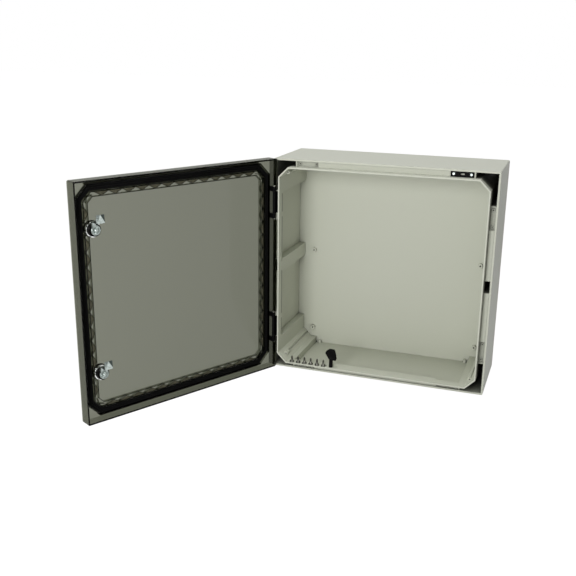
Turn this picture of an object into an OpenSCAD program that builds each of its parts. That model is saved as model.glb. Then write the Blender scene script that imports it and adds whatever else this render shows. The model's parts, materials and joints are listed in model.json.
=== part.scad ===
// Wall-mounted cabinet with a hinged, see-through door, shown with the door open.
// Origin: centre of the back plane. +Z is up and the open front faces -Y.

/* [Cabinet] */
// Width over the side walls
box_w = 500; // [420:5:600]
// Height over the top and bottom walls
box_h = 500; // [460:5:640]
// Depth of the base, from its back plane to its front edge
base_d = 183; // [140:1:260]
// Thickness of the side walls
wall_t = 4; // [3:0.5:5]
// Thickness of the back wall
back_t = 5; // [4:0.5:8]
// Radius of the upright corners
corner_r = 3; // [1:0.5:3]

/* [Rim] */
// Distance from the outer face to the eight-sided rim
rim_inset = 16.5; // [15.5:0.5:18]
// Thickness of the rim
rim_t = 3; // [2.5:0.5:4]
// Leg of the rim's corner chamfer
rim_leg = 22.5; // [16:0.5:30]
// How far the rim stands in front of the base's edge
rim_rise = 17; // [14:0.5:19]
// How far the collar runs back between the two upper and the two lower recesses
collar_d = 32; // [26:1:50]

/* [Channel, recesses and wells] */
// Depth of the channel floor behind the base's edge
channel_d = 3; // [2:0.5:5]
// Thickness of the channel floor
channel_t = 3.5; // [2.5:0.5:5]
// Length of each recess
recess_l = 50; // [44:1:60]
// Depth of each recess below the channel floor, equal to the plate it takes
recess_d = 3; // [2:0.5:4]
// Thickness of the block behind each recess floor
recess_back = 3.5; // [2.5:0.5:5]
// Distance from the top and bottom faces to the middles of the side recesses
side_recess_inset = 100; // [100:1:125]
// Distance from the side faces to the middles of the top and bottom recesses
top_recess_inset = 79.5; // [79.5:0.5:100]
// Distance between the two screws of a hinge leaf
side_pitch = 36; // [34:0.5:38]
// Distance between the two screws of a top recess
top_pitch = 37; // [34:0.5:39]
// Margin between a recess and the deeper pocket in its floor
pocket_inset = 2; // [1.5:0.1:3]
// Depth of the pocket below the recess floor
pocket_d = 2; // [1:0.5:2.5]
// Radius of the rings left standing in the pocket round the screw holes
ring_r = 3; // [2.5:0.1:3.5]
// Radius of the blind screw holes in the recesses
pilot_r = 1.6; // [1:0.05:1.8]
// Depth of the blind screw holes
pilot_d = 13; // [9:0.5:16]
// Radius of the bosses behind the blind screw holes
pilot_boss_r = 4; // [3:0.1:4.2]
// Radius of the screw holes at the front of the corner faces
corner_hole_r = 1.5; // [1:0.1:2]
// Depth of those screw holes
corner_hole_d = 14; // [8:1:16]
// Length of the bosses round those screw holes
corner_boss_l = 18; // [17:1:40]
// Reach of a corner well from the outer face, along the width
well_w = 51.5; // [46:0.5:52]
// Reach of a corner well from the outer face, along the height
well_h = 73.5; // [60:0.5:74]
// Thickness of the well walls
divider_t = 2.5; // [2:0.5:4]
// Height of the square wells in the middle of both sides
mid_well_h = 27; // [20:1:40]

/* [Back wall] */
// Distance from the outer faces to the holes for fastening to a wall
wall_hole_inset = 17; // [16:0.5:18]
// Radius of the holes for fastening to a wall
wall_hole_r = 4; // [3:0.25:5]
// Distance from the outer faces to the mounting plate bosses
plate_inset = 45; // [44:1:70]
// Radius of the mounting plate bosses
plate_boss_r = 5; // [4:0.5:7]
// Height of the mounting plate bosses
plate_boss_h = 8; // [5:0.5:14]
// Radius of the holes in the mounting plate bosses
plate_hole_r = 2; // [1.5:0.1:2.5]
// Depth of the groove down each corner face
groove_d = 1.8; // [0.8:0.1:1.8]
// Width of the groove down each corner face
groove_w = 3; // [2:0.5:6]
// Distance from the side faces to the two small pads on the floor, against the back wall
pad_inset = 65; // [60:1:200]
// Width of the pads
pad_w = 6; // [3:0.5:12]
// Height of the pads above the floor
pad_h = 7; // [3:0.5:12]

/* [Door] */
// Depth of the door over its skirt
door_d = 25.5; // [23:0.5:30]
// Gap between the door's skirt and the base's edge
door_gap = 1.5; // [1:0.1:1.8]
// Thickness of the door
door_t = 3.5; // [3:0.5:4]
// Distance from the door's edge to the outer gasket rib
outer_rib_inset = 9; // [8.5:0.1:9.5]
// Thickness of the two gasket ribs
rib_t = 2; // [1.5:0.1:2.5]
// Height of the two gasket ribs above the door's inside face
rib_h = 8.5; // [7.5:0.1:9.5]
// Width of the gasket between its two ribs
gasket_w = 13.5; // [12.5:0.1:14]
// Width of the stiffening truss inside the gasket
truss_w = 8; // [6:0.5:12]
// Height of the stiffening truss
truss_h = 7; // [4:0.5:8]
// Distance between neighbouring points of the truss
truss_pitch = 30.5; // [20:0.5:45]
// Thickness of the truss webs and of the rib round the window
web_t = 1.5; // [1:0.1:2.5]

/* [Hinges] */
// Distance from the left face to the hinge axis
hinge_inset = 3.5; // [3.4:0.1:3.8]
// Distance of the hinge axis in front of the base's edge
hinge_out = 6.5; // [6.4:0.1:6.8]
// Radius of the hinge knuckles
knuckle_r = 3.4; // [3:0.1:3.6]
// Radius of the hinge pins
pin_r = 1.5; // [1.2:0.05:1.8]
// Length of the base leaf's knuckle
knuckle_l = 50; // [44:0.2:60]
// Length of each door leaf's knuckle
lug_l = 11; // [6:0.2:12]
// Distance from the ends of the base leaf's knuckle to the door leaf's screws
leaf_screw_inset = 3; // [2:0.5:12]
// Opening angle of the door as shown
door_angle = 119; // [0:1:119]

/* [Locks] */
// Distance from the door's free edge to the lock axes
lock_inset = 46; // [45:0.5:50]
// Distance from the top and bottom faces to the lock axes
lock_end_inset = 100; // [100:1:120]
// Radius of the lock housing's outer flange
flange_r = 17; // [15:0.5:20]
// Thickness of the outer flange
flange_t = 2.5; // [1.5:0.5:4]
// Radius of the lock housing's barrel
barrel_r = 13; // [11:0.5:14]
// Length of the lock housing inside the door
barrel_l = 11.5; // [10:0.5:12]
// Radius of the ring nut
nut_r = 16; // [15:0.5:18]
// Thickness of the ring nut
nut_t = 4.5; // [3:0.5:6]
// Radius of the lock rotor
rotor_r = 8; // [6:0.5:9]
// Size of the square that drives the cam
drive_w = 7; // [5:0.5:8]
// Reach of the cam from the lock's axis
cam_reach = 34; // [31:0.5:34]
// Distance from the lock's axis to the cam's tab
cam_step = 17; // [12:0.5:18]
// Width of the cam
cam_w = 18; // [14:0.5:18]
// Width of the arm between the cam's hub and its tab
cam_arm_w = 9; // [6:0.5:12]
// Thickness of the cam
cam_t = 2.5; // [2:0.1:2.6]
// Thickness of the ribs along the cam's edge
cam_rib_t = 1.5; // [1:0.1:2.5]
// Height of the gussets between the cam's web and its tab
cam_gusset = 6; // [3:0.5:8]

/* [Loose pieces] */
// Number of loose mounting plate screws
loose_screws = 6; // [1:1:8]
// Radius of their heads
loose_head_r = 5.5; // [4:0.5:6]
// Radius of their shanks
loose_shank_r = 2.4; // [1.5:0.1:2.6]
// Length of the screws
loose_l = 16.5; // [12:0.5:19]
// Distance of the loose screws in front of the base's edge
loose_out = 11; // [8:0.5:11]
// Distance from the left face to the first loose screw
loose_inset = 53; // [50:1:70]
// Distance between neighbouring loose screws
loose_pitch = 15.6; // [12:0.1:16]
// Distance from the last loose screw to the key's grip
key_gap = 5.5; // [5:0.5:100]
// Length of the key
key_l = 45; // [38:1:60]
// Width of the key's grip
key_w = 25; // [18:1:32]
// Depth of the key's socket
key_socket_d = 10; // [6:1:12]

/* [Hidden] */
$fn = 48;
// Running clearance of pins, rotors and their holes, on the radius
run = 0.05;
// Clearance of a plate in its recess, all round
seat = 0.3;
// Gap between the gasket and the rim of the closed door
gasket_gap = 0.3;
eps = 0.01;

front_y = -base_d;
rim_y = front_y - rim_rise;
channel_y = front_y + channel_d;
recess_y = channel_y + recess_d;
block_y = recess_y + recess_back;
rim_inner = rim_inset + rim_t;
lane_w = rim_inset - wall_t;
lane_mid = (wall_t + rim_inset) / 2;
mid_band_h = mid_well_h + 2 * divider_t;

door_edge_y = front_y - door_gap;
door_face_y = door_edge_y - door_d;
skin_y = door_face_y + door_t;
gasket_inset = outer_rib_inset + rib_t;
inner_rib_inset = gasket_inset + gasket_w;
truss_inset = inner_rib_inset + rib_t;
panel_rib_inset = truss_inset + truss_w;

hinge_x = -box_w / 2 + hinge_inset;
hinge_y = front_y - hinge_out;
leaf_l = recess_l - 2 * seat;
leaf_w = lane_w - 2 * seat;
leaf_top_y = channel_y;
side_recess_z = box_h / 2 - side_recess_inset;
top_recess_x = box_w / 2 - top_recess_inset;
lug_z = knuckle_l / 2 + 0.4;
leaf_web_l = min(leaf_l, knuckle_l);
leaf_screw_z = knuckle_l / 2 - leaf_screw_inset;
notch_h = lug_z + lug_l + 3;

lock_x = box_w / 2 - lock_inset;
lock_z = box_h / 2 - lock_end_inset;
barrel_y = skin_y + barrel_l;
hub_y = barrel_y + 1.5;
tab_y = block_y + 0.8;
loose_x = loose_inset - box_w / 2;
key_x = loose_x + (loose_screws - 1) * loose_pitch + key_gap + key_w / 2;
loose_y = front_y - loose_out;
key_y = front_y - rim_rise / 2 - 1;
corner_boss_y = channel_y + channel_t;
wall_x = box_w / 2 - wall_hole_inset;
wall_z = box_h / 2 - wall_hole_inset;
plate_x = box_w / 2 - plate_inset;
plate_z = box_h / 2 - plate_inset;

shell_grey = [0.80, 0.80, 0.74];
smoke = [0.35, 0.34, 0.31, 0.55];
black = [0.07, 0.07, 0.07];
zinc = [0.74, 0.77, 0.80];

// --- Helpers -------------------------------------------------------------------------

// Extrudes an outline drawn in (x, z) from one depth to another
module slab(y0, y1) {
    translate([0, y1, 0]) rotate([90, 0, 0]) linear_extrude(y1 - y0) children();
}

// A round bar along the depth
module rod(r, y0, y1) {
    translate([0, y1, 0]) rotate([90, 0, 0]) cylinder(r = r, h = y1 - y0);
}

// The cabinet's outline, set in from the outer face, with round corners
module frame_2d(inset, r) {
    w = box_w - 2 * inset;
    h = box_h - 2 * inset;
    square([w - 2 * r, h], center = true);
    square([w, h - 2 * r], center = true);
    for (x = [-1, 1], z = [-1, 1])
        translate([x * (w / 2 - r), z * (h / 2 - r)]) circle(r);
}

// Chamfer leg of the eight-sided outline at a distance from the outer face
function leg(inset) = rim_leg + (rim_inset - inset) * (2 - sqrt(2));

// The eight-sided outline of the rim and everything parallel to it
module octagon_2d(inset) {
    w = box_w / 2 - inset;
    h = box_h / 2 - inset;
    c = leg(inset);
    polygon([[w - c, h], [w, h - c], [w, c - h], [w - c, -h],
        [c - w, -h], [-w, c - h], [-w, h - c], [c - w, h]]);
}

module octagon_ring(inset, t) {
    difference() {
        octagon_2d(inset);
        octagon_2d(inset + t);
    }
}

// Puts a copy in each of the four corners, mirrored about both middle planes
module four_ways() {
    for (x = [0, 1], z = [0, 1])
        mirror([x, 0, 0]) mirror([0, 0, z]) children();
}

// Turns a door piece, modelled closed, to the angle that the door stands at
module on_door() {
    translate([hinge_x, hinge_y, 0]) rotate([0, 0, -door_angle])
        translate([-hinge_x, -hinge_y, 0]) children();
}

// A countersunk screw along the depth, its head flush with head_y
module flush_screw(head_r, shank_r, head_y, length) {
    difference() {
        union() {
            translate([0, head_y, 0]) rotate([-90, 0, 0])
                cylinder(r1 = head_r, r2 = shank_r, h = head_r - shank_r);
            rod(shank_r, head_y, head_y + length);
        }
        for (a = [0, 90])
            translate([0, head_y, 0]) rotate([0, a, 0])
                cube([head_r, 1.2, 0.8], center = true);
    }
}

module flush_hole(head_r, hole_r, head_y, length) {
    translate([0, head_y, 0]) rotate([-90, 0, 0])
        cylinder(r1 = head_r + run, r2 = hole_r, h = head_r + run - hole_r);
    rod(hole_r, head_y, head_y + length);
}

// --- Base ----------------------------------------------------------------------------

// Centre of a recess on the right side (side = true) or the top
module at_recess(side) {
    if (side)
        translate([box_w / 2 - lane_mid, 0, side_recess_z]) children();
    else
        translate([top_recess_x, 0, box_h / 2 - lane_mid]) rotate([0, 90, 0]) children();
}

module recess_block() {
    translate([-lane_w / 2 - 1, channel_y + eps, -recess_l / 2 - 2])
        cube([lane_w + 2, block_y - channel_y - eps, recess_l + 4]);
}

module recess_cut(pitch) {
    translate([-lane_w / 2, channel_y - 1, -recess_l / 2])
        cube([lane_w, recess_y - channel_y + 1, recess_l]);
    difference() {
        translate([pocket_inset - lane_w / 2, recess_y - 1, pocket_inset - recess_l / 2])
            cube([lane_w - 2 * pocket_inset, pocket_d + 1, recess_l - 2 * pocket_inset]);
        for (s = [-1, 1])
            translate([0, 0, s * pitch / 2]) rod(ring_r, recess_y, recess_y + pocket_d + 1);
    }
    for (s = [-1, 1])
        translate([0, 0, s * pitch / 2]) rod(pilot_r, recess_y - 1, recess_y + pilot_d);
}

module recess_bosses(pitch) {
    for (s = [-1, 1])
        translate([0, 0, s * pitch / 2]) rod(pilot_boss_r, recess_y + 1, recess_y + pilot_d + 3);
}

// Outline of one corner well, open to the front
module well_2d() {
    difference() {
        translate([box_w / 2 - well_w, box_h / 2 - well_h])
            square([well_w - wall_t, well_h - wall_t]);
        octagon_2d(rim_inset);
    }
}

// Walls round one corner well: two dividers and the slanted corner face
module well_walls_2d() {
    x0 = box_w / 2 - well_w - divider_t;
    z0 = box_h / 2 - well_h - divider_t;
    translate([x0, box_h / 2 - rim_inner]) square([divider_t, rim_inner - wall_t + 1]);
    translate([box_w / 2 - rim_inner, z0]) square([rim_inner - wall_t + 1, divider_t]);
    intersection() {
        octagon_ring(rim_inset, rim_t);
        translate([x0, z0]) square([well_w, well_h]);
    }
}

// Square well in the middle of the right side
module mid_well_2d() {
    translate([box_w / 2 - rim_inset, -mid_well_h / 2]) square([lane_w, mid_well_h]);
}

module mid_walls_2d() {
    translate([box_w / 2 - rim_inner, -mid_band_h / 2])
        square([rim_inner - wall_t + 1, mid_band_h]);
}

module base_walls() {
    slab(front_y, 0) difference() {
        frame_2d(0, corner_r);
        square([box_w - 2 * wall_t, box_h - 2 * wall_t], center = true);
    }
    slab(-back_t, 0) frame_2d(1, corner_r - 0.5);
}

module base_front() {
    slab(rim_y, channel_y + channel_t) octagon_ring(rim_inset, rim_t);
    slab(channel_y, channel_y + channel_t) difference() {
        square([box_w - 2 * wall_t + 2, box_h - 2 * wall_t + 2], center = true);
        octagon_2d(rim_inner - 1);
    }
    // Deeper collar between the recesses
    for (s = [-1, 1])
        translate([0, rim_y + collar_d / 2, s * (box_h / 2 - rim_inner + rim_t / 2)])
            cube([2 * (top_recess_x - recess_l / 2 - 2), collar_d, rim_t], center = true);
}

// Screw boss at the front of each corner face
module corner_boss() {
    m = leg(rim_inner) / 2 + 1.5;
    translate([box_w / 2 - rim_inner - m, 0, box_h / 2 - rim_inner - m])
        rod(pilot_boss_r, corner_boss_y, corner_boss_y + corner_boss_l);
}

module corner_cuts() {
    m = leg(rim_inner) / 2;
    translate([box_w / 2 - rim_inner - m - 1.5, 0, box_h / 2 - rim_inner - m - 1.5])
        rod(corner_hole_r, channel_y, corner_boss_y + corner_hole_d);
    translate([box_w / 2 - rim_inner - m, 0, box_h / 2 - rim_inner - m]) rotate([0, 45, 0])
        translate([-groove_w / 2, corner_boss_y + corner_boss_l, -groove_w])
            cube([groove_w, -back_t - corner_boss_y - corner_boss_l, groove_w + groove_d]);
}

// Two small moulded pads where the floor meets the back wall
module floor_pads() {
    for (x = [-1, 1])
        translate([x * (box_w / 2 - pad_inset) - pad_w / 2, -back_t - plate_boss_h, -box_h / 2 + wall_t - 1])
            cube([pad_w, plate_boss_h + 1, pad_h + 1]);
}

module base_shell() {
    color(shell_grey) difference() {
        union() {
            base_walls();
            base_front();
            four_ways() {
                slab(channel_y, -back_t / 2) well_walls_2d();
                corner_boss();
                for (side = [true, false]) at_recess(side) {
                    recess_block();
                    recess_bosses(side ? side_pitch : top_pitch);
                }
            }
            for (x = [0, 1]) mirror([x, 0, 0]) slab(channel_y, -back_t / 2) mid_walls_2d();
            floor_pads();
            for (x = [-1, 1], z = [-1, 0, 1])
                translate([x * plate_x, 0, z * plate_z])
                    rod(plate_boss_r, -back_t - plate_boss_h, -back_t / 2);
        }
        four_ways() {
            slab(channel_y - 1, -back_t) well_2d();
            corner_cuts();
            for (side = [true, false]) at_recess(side)
                recess_cut(side ? side_pitch : top_pitch);
            translate([wall_x, 0, wall_z]) rod(wall_hole_r, -back_t - 1, 1);
        }
        for (x = [0, 1]) mirror([x, 0, 0]) slab(channel_y - 1, -back_t) mid_well_2d();
        for (x = [-1, 1], z = [-1, 0, 1])
            translate([x * plate_x, 0, z * plate_z])
                rod(plate_hole_r, -back_t - plate_boss_h - 1, -2);
    }
}

// --- Pieces in the recesses ----------------------------------------------------------

// Base leaf of a hinge: a plate in its recess, an upright web and the long knuckle
module hinge_base_leaf(z) {
    leaf_x = -box_w / 2 + lane_mid;
    color(black) translate([0, 0, z]) difference() {
        union() {
            translate([leaf_x - leaf_w / 2, leaf_top_y, -leaf_l / 2])
                cube([leaf_w, recess_y - leaf_top_y, leaf_l]);
            translate([hinge_x + 0.9, hinge_y, -leaf_web_l / 2])
                cube([knuckle_r - 0.9, leaf_top_y - hinge_y + 1, leaf_web_l]);
            translate([hinge_x, hinge_y, -knuckle_l / 2])
                cylinder(r = knuckle_r, h = knuckle_l);
        }
        translate([hinge_x, hinge_y, -knuckle_l]) cylinder(r = pin_r + run, h = 2 * knuckle_l);
        for (s = [-1, 1])
            translate([leaf_x, 0, s * side_pitch / 2])
                flush_hole(2.6, pilot_r, leaf_top_y, recess_y - leaf_top_y + 1);
    }
}

module hinge_leaf_screws() {
    color(zinc) for (z = [-side_recess_z, side_recess_z], s = [-1, 1])
        translate([-box_w / 2 + lane_mid, 0, z + s * side_pitch / 2])
            flush_screw(2.6, pilot_r - run, leaf_top_y, pilot_d);
}

// Hinge pin with a small head on top of the upper door lug
module hinge_pin(z) {
    half = lug_z + lug_l;
    color(zinc) translate([hinge_x, hinge_y, z]) {
        translate([0, 0, -half]) cylinder(r = pin_r, h = 2 * half + 1);
        translate([0, 0, half + 0.3]) cylinder(r = pin_r + 1, h = 1.2);
    }
}

// Plate in the upper right recess, with a slot between its two screws
module keeper_plate() {
    color(black) at_recess(false) difference() {
        translate([-leaf_w / 2, channel_y, -leaf_l / 2])
            cube([leaf_w, recess_y - channel_y, leaf_l]);
        translate([-1.75, channel_y - 1, -4.5]) cube([3.5, recess_d + 2, 9]);
        for (s = [-1, 1])
            translate([0, 0, s * top_pitch / 2])
                flush_hole(2.6, pilot_r, channel_y, recess_d + 1);
    }
}

module keeper_screws() {
    color(zinc) at_recess(false) for (s = [-1, 1])
        translate([0, 0, s * top_pitch / 2])
            flush_screw(2.6, pilot_r - run, channel_y, pilot_d);
}

// --- Loose pieces on the lower rim ---------------------------------------------------

// One screw standing on its head, point up
module loose_screw() {
    rim_h = 1;
    tip_h = 3;
    difference() {
        union() {
            cylinder(r = loose_head_r, h = rim_h);
            translate([0, 0, rim_h])
                cylinder(r1 = loose_head_r, r2 = loose_shank_r, h = loose_head_r - loose_shank_r);
            cylinder(r = loose_shank_r, h = loose_l - tip_h);
            translate([0, 0, loose_l - tip_h]) cylinder(r1 = loose_shank_r, r2 = 0.4, h = tip_h);
        }
        for (a = [0, 90])
            rotate([0, 0, a]) cube([loose_head_r, 0.9, 2], center = true);
    }
}

module plate_screws() {
    color(zinc) for (i = [0 : loose_screws - 1])
        translate([loose_x + i * loose_pitch, loose_y, rim_inner - box_h / 2]) loose_screw();
}

// Key standing on its socket: a round stem below a flat, uneven eight-sided grip
module door_key() {
    grip = [[-0.5, 0.4], [-0.34, 0.08], [0.06, 0], [0.4, 0.14], [0.5, 0.5], [0.3, 0.88], [-0.1, 1],
        [-0.44, 0.76]];
    stem_h = key_l - key_w;
    color(black) translate([key_x, key_y, rim_inner - box_h / 2]) difference() {
        union() {
            cylinder(r = 4.8, h = stem_h + 4);
            translate([0, 0, stem_h]) slab(-3.25, 3.25) polygon(key_w * grip);
        }
        // Double-bit socket
        cylinder(r = 2.2, h = 2 * key_socket_d, center = true);
        cube([7.4, 1.8, 2 * key_socket_d], center = true);
    }
}

// --- Door ----------------------------------------------------------------------------

// Zigzag web between two parallel ribs, centred on x = 0, from z = 0 up to z = h
module zigzag_2d(length, h, t) {
    n = 2 * floor(length / truss_pitch);
    slant = t * sqrt(pow(truss_pitch / 2, 2) + h * h) / (truss_pitch / 2);
    points = [for (i = [0 : n]) [(i - n / 2) * truss_pitch / 2, i % 2 == 0 ? h : 0]];
    polygon(concat([for (p = points) p + [0, slant / 2]],
        [for (i = [n : -1 : 0]) points[i] - [0, slant / 2]]));
}

module truss_2d() {
    side = box_h - 2 * truss_inset - 2 * leg(truss_inset);
    span = box_w - 2 * truss_inset - 2 * leg(truss_inset);
    intersection() {
        octagon_ring(truss_inset - rib_t / 2, truss_w + rib_t);
        union() {
            for (a = [0, 180]) {
                rotate(a) translate([0, box_h / 2 - panel_rib_inset]) zigzag_2d(span, truss_w, web_t);
                rotate(a + 90) translate([0, box_w / 2 - panel_rib_inset])
                    zigzag_2d(side, truss_w, web_t);
            }
            // Webs across the corner stretches
            for (x = [-1, 1], z = [-1, 1])
                translate([x * (box_w - 2 * truss_inset - leg(truss_inset)) / 2,
                    z * (box_h - 2 * truss_inset - leg(truss_inset)) / 2])
                    rotate(x * z * 45) for (s = [-60, 60])
                        rotate(s) square([3 * truss_w, web_t], center = true);
        }
    }
}

module door_panel() {
    color(smoke) on_door() difference() {
        union() {
            slab(door_face_y, skin_y) frame_2d(0, corner_r);
            slab(skin_y - 1, door_edge_y) difference() {
                frame_2d(0, corner_r);
                frame_2d(door_t, 0.5);
            }
            slab(skin_y - 1, skin_y + rib_h) {
                octagon_ring(outer_rib_inset, rib_t);
                octagon_ring(inner_rib_inset, rib_t);
            }
            slab(skin_y - 1, skin_y + truss_h) {
                truss_2d();
                octagon_ring(panel_rib_inset, web_t);
            }
        }
        for (z = [-side_recess_z, side_recess_z]) {
            // Notch in the skirt round each hinge
            translate([-box_w / 2 - 1, hinge_y - 5.3, z - notch_h])
                cube([door_t + 1.5, door_edge_y - hinge_y + 6.3, 2 * notch_h]);
            for (s = [-1, 1])
                translate([hinge_x + 2.8, 0, z + s * leaf_screw_z]) rod(1, skin_y - 2.5, skin_y + 1);
        }
        for (z = [-lock_z, lock_z]) translate([lock_x, 0, z]) {
            rod(barrel_r + run, door_face_y - 1, skin_y + 1);
            rod(flange_r - 1.5, door_face_y - 1, door_face_y + 1);
            // Room for the ring nut in the truss and the ribs
            rod(nut_r + 0.5, skin_y, skin_y + rib_h + 1);
        }
    }
}

module door_gasket() {
    color(black) on_door() slab(skin_y, rim_y - gasket_gap)
        octagon_ring(gasket_inset + 0.1, gasket_w - 0.2);
}

// Door leaf of a hinge: a strip on the inside face with a lug at each end
module hinge_door_leaf(z) {
    leaf_x = hinge_x + 0.2;
    leaf_w = outer_rib_inset - hinge_inset - 0.4;
    half = lug_z + lug_l;
    color(black) on_door() translate([0, 0, z]) difference() {
        union() {
            translate([leaf_x, skin_y, -half]) cube([leaf_w, 2, 2 * half]);
            for (s = [0, 1]) mirror([0, 0, s]) {
                translate([leaf_x, skin_y, lug_z]) cube([knuckle_r - 0.2, hinge_y - skin_y, lug_l]);
                translate([hinge_x, hinge_y, lug_z]) cylinder(r = knuckle_r, h = lug_l);
            }
        }
        translate([hinge_x, hinge_y, -2 * half]) cylinder(r = pin_r + run, h = 4 * half);
        for (s = [-1, 1])
            translate([hinge_x + 2.8, 0, s * leaf_screw_z]) rod(1, skin_y - 1, skin_y + 3);
    }
}

module door_leaf_screws() {
    color(zinc) on_door() for (z = [-side_recess_z, side_recess_z], s = [-1, 1])
        translate([hinge_x + 2.8, 0, z + s * leaf_screw_z]) {
            rod(1 - run, skin_y - 2, skin_y + 3);
            rod(2, skin_y + 2, skin_y + 3.2);
        }
}

// --- Locks ---------------------------------------------------------------------------

module at_lock(z) {
    on_door() translate([lock_x, 0, z]) children();
}

module lock_housing(z) {
    color(black) at_lock(z) difference() {
        union() {
            rod(flange_r, door_face_y - flange_t, door_face_y);
            rod(barrel_r, door_face_y - 1, barrel_y);
        }
        rod(rotor_r + run, door_face_y - flange_t - 1, barrel_y + 1);
    }
}

module lock_seal(z) {
    color(black) at_lock(z) difference() {
        rod(flange_r - 2, door_face_y, door_face_y + 1);
        rod(barrel_r + run, door_face_y - 1, door_face_y + 2);
    }
}

module lock_nut(z) {
    color(zinc) at_lock(z) difference() {
        rod(nut_r, skin_y, skin_y + nut_t);
        rod(barrel_r + run, skin_y - 1, skin_y + nut_t + 1);
        for (a = [0 : 60 : 300])
            rotate([0, a, 0]) translate([nut_r, skin_y + nut_t, 0]) cube([3, 3, 4], center = true);
    }
}

// Rotor with the key recess in front and the square that drives the cam behind
module lock_rotor(z) {
    color(zinc) at_lock(z) difference() {
        union() {
            rod(rotor_r, door_face_y - flange_t + 0.5, barrel_y + 0.5);
            translate([-drive_w / 2, barrel_y, -drive_w / 2])
                cube([drive_w, hub_y + cam_t - barrel_y - 0.1, drive_w]);
        }
        // Key recess with its central post
        difference() {
            rod(rotor_r - 2, door_face_y - flange_t, door_face_y + 7);
            rod(2, door_face_y - flange_t, door_face_y + 8);
            translate([-3.4, door_face_y - flange_t, -0.8]) cube([6.8, 10 + flange_t, 1.6]);
        }
        rod(1.5, barrel_y - 6, hub_y + cam_t + 1);
    }
}

// Cranked cam: a round hub, a narrow arm, a web running back and a square tab, ribbed along
// the edge that leads when it locks
module lock_cam(z) {
    arm_x = cam_w / 2 - cam_arm_w;
    back = tab_y + cam_t;
    color(zinc) at_lock(z) difference() {
        union() {
            rod(10, hub_y, hub_y + cam_t);
            translate([arm_x, hub_y, 0]) cube([cam_arm_w, cam_t, cam_step + cam_t]);
            translate([arm_x, hub_y, cam_step]) cube([cam_arm_w, back - hub_y, cam_t]);
            translate([cam_w / 2 - cam_rib_t, hub_y, 4]) cube([cam_rib_t, 6, cam_step - 3]);
            translate([-cam_w / 2, tab_y, cam_step]) cube([cam_w, cam_t, cam_reach - cam_step]);
            for (x = [arm_x, cam_w / 2 - cam_rib_t])
                translate([x, tab_y + 0.1, cam_step + cam_t - 0.1]) rotate([90, 0, 90])
                    linear_extrude(cam_rib_t)
                        polygon([[0, 0], [0, cam_gusset], [-2 * cam_gusset, 0]]);
        }
        translate([-drive_w / 2 - run, hub_y - 1, -drive_w / 2 - run])
            cube([drive_w + 2 * run, cam_t + 2, drive_w + 2 * run]);
    }
}

module cam_screw(z) {
    color(zinc) at_lock(z) difference() {
        union() {
            rod(1.5 - run, barrel_y - 5, hub_y + cam_t + 1);
            rod(5.5, hub_y + cam_t, hub_y + cam_t + 1);
            rod(3.2, hub_y + cam_t + 0.9, hub_y + cam_t + 3);
        }
        translate([-4, hub_y + cam_t + 2.2, -0.5]) cube([8, 2, 1]);
    }
}

// --- Nodes ---------------------------------------------------------------------------

base_shell();
hinge_base_leaf(side_recess_z);  // upper_hinge_base_leaf
hinge_base_leaf(-side_recess_z);  // lower_hinge_base_leaf
hinge_leaf_screws();
hinge_pin(side_recess_z);  // upper_hinge_pin
hinge_pin(-side_recess_z);  // lower_hinge_pin
keeper_plate();
keeper_screws();
plate_screws();
door_key();
door_panel();
door_gasket();
hinge_door_leaf(side_recess_z);  // upper_hinge_door_leaf
hinge_door_leaf(-side_recess_z);  // lower_hinge_door_leaf
door_leaf_screws();
lock_housing(lock_z);  // upper_lock_housing
lock_seal(lock_z);  // upper_lock_seal
lock_nut(lock_z);  // upper_lock_nut
lock_housing(-lock_z);  // lower_lock_housing
lock_seal(-lock_z);  // lower_lock_seal
lock_nut(-lock_z);  // lower_lock_nut
lock_rotor(lock_z);  // upper_lock_rotor
lock_cam(lock_z);  // upper_lock_cam
cam_screw(lock_z);  // upper_cam_screw
lock_rotor(-lock_z);  // lower_lock_rotor
lock_cam(-lock_z);  // lower_lock_cam
cam_screw(-lock_z);  // lower_cam_screw
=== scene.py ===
"""Looks of a wall cabinet with a hinged, see-through door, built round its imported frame.

Lengths are metres in the frame's own axes: +Z is up, the back plane is y = 0 and the open
front faces -Y. Pieces of the door are worked out for the closed door, and are then turned
about the hinge to where the frame holds the door at rest.
"""
import json
import logging
import math
from dataclasses import dataclass
from enum import Enum
from typing import Any, Iterable, Sequence

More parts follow.
